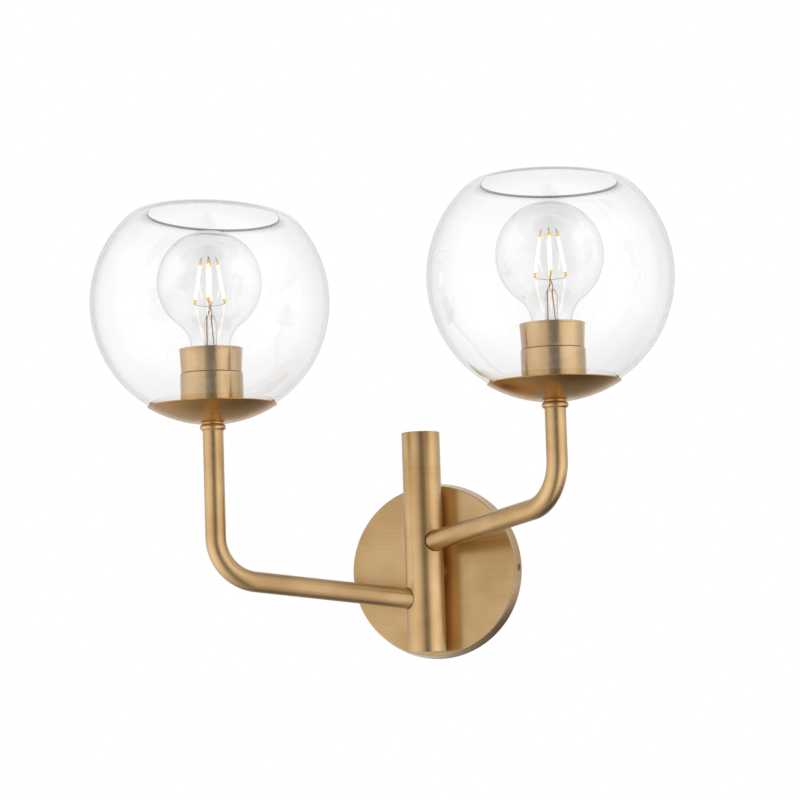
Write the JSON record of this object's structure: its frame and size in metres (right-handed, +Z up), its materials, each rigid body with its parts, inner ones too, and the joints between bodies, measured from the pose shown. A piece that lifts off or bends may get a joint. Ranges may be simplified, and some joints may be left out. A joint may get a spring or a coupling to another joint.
{
  "type": "double arm wall sconce",
  "caption": "Wall sconce: a round brass canopy carries a vertical stem whose bent tube arms hold clear open-top glass globes round filament bulbs.",
  "frame": {"origin": "centre of the canopy's back rim, on the wall plane, midway between the bracket's two screw slots", "axes": "+Y into the wall, +X to the right along the wall seen from the room, +Z up"},
  "size_m": [0.446, 0.2149, 0.3423],
  "materials": {
    "aged_brass": "satin",
    "plain_steel": "zinc plated",
    "ground_green": "dyed green zinc",
    "clear_glass": "clear blown glass",
    "bulb_glass": "clear thin glass",
    "silicone": "translucent silicone",
    "phenolic": "moulded phenolic",
    "nickel": "nickel plated",
    "black_glass": "vitreous insulator",
    "filament": "phosphor coated, lit"
  },
  "bodies": {
    "fixture": {"canopy": "aged_brass", "canopy_side_screws": "aged_brass", "mounting_bracket": "plain_steel", "ground_screw": "ground_green", "centre_nipple": "plain_steel", "canopy_washer": "plain_steel", "canopy_nut": "plain_steel", "standoff_collar": "aged_brass", "stem_tube": "aged_brass", "stem_cap_top": "aged_brass", "stem_cap_bottom": "aged_brass", "stem_saddle": "plain_steel", "stem_screws": "plain_steel", "left_arm_block": "aged_brass", "left_arm": "aged_brass", "left_arm_bush": "aged_brass", "left_arm_collar": "aged_brass", "left_dish": "aged_brass", "left_lamp_nipple": "plain_steel", "left_lamp_washer": "plain_steel", "left_lamp_nut": "plain_steel", "left_glass_globe": "clear_glass", "left_dish_gasket": "silicone", "left_cup_gasket": "silicone", "left_lower_cup": "aged_brass", "left_socket_body": "phenolic", "left_socket_shell": "nickel", "left_socket_contact": "nickel", "right_arm_block": "aged_brass", "right_arm": "aged_brass", "right_arm_bush": "aged_brass", "right_arm_collar": "aged_brass", "right_dish": "aged_brass", "right_lamp_nipple": "plain_steel", "right_lamp_washer": "plain_steel", "right_lamp_nut": "plain_steel", "right_glass_globe": "clear_glass", "right_dish_gasket": "silicone", "right_cup_gasket": "silicone", "right_lower_cup": "aged_brass", "right_socket_body": "phenolic", "right_socket_shell": "nickel", "right_socket_contact": "nickel"},
    "left_ring": {"left_shade_ring": "aged_brass"},
    "left_bulb": {"left_bulb_tip": "nickel", "left_bulb_insulator": "black_glass", "left_bulb_base": "nickel", "left_bulb_glass": "bulb_glass", "left_bulb_stem": "bulb_glass", "left_bulb_filaments": "filament", "left_bulb_wires": "nickel"},
    "right_ring": {"right_shade_ring": "aged_brass"},
    "right_bulb": {"right_bulb_tip": "nickel", "right_bulb_insulator": "black_glass", "right_bulb_base": "nickel", "right_bulb_glass": "bulb_glass", "right_bulb_stem": "bulb_glass", "right_bulb_filaments": "filament", "right_bulb_wires": "nickel"}
  },
  "joints": [
    {"name": "left_ring_turn", "type": "hinge", "parent": "fixture", "child": "left_ring", "pos_m": [-0.13303, -0.12496, 0.147], "axis": [0, 0, 1], "range_deg": [0, 360]},
    {"name": "left_bulb_turn", "type": "hinge", "parent": "fixture", "child": "left_bulb", "pos_m": [-0.13303, -0.12496, 0.153], "axis": [0, 0, 1], "range_deg": [0, 360]},
    {"name": "right_ring_turn", "type": "hinge", "parent": "fixture", "child": "right_ring", "pos_m": [0.13303, -0.12496, 0.147], "axis": [0, 0, 1], "range_deg": [0, 360]},
    {"name": "right_bulb_turn", "type": "hinge", "parent": "fixture", "child": "right_bulb", "pos_m": [0.13303, -0.12496, 0.153], "axis": [0, 0, 1], "range_deg": [0, 360]}
  ]
}
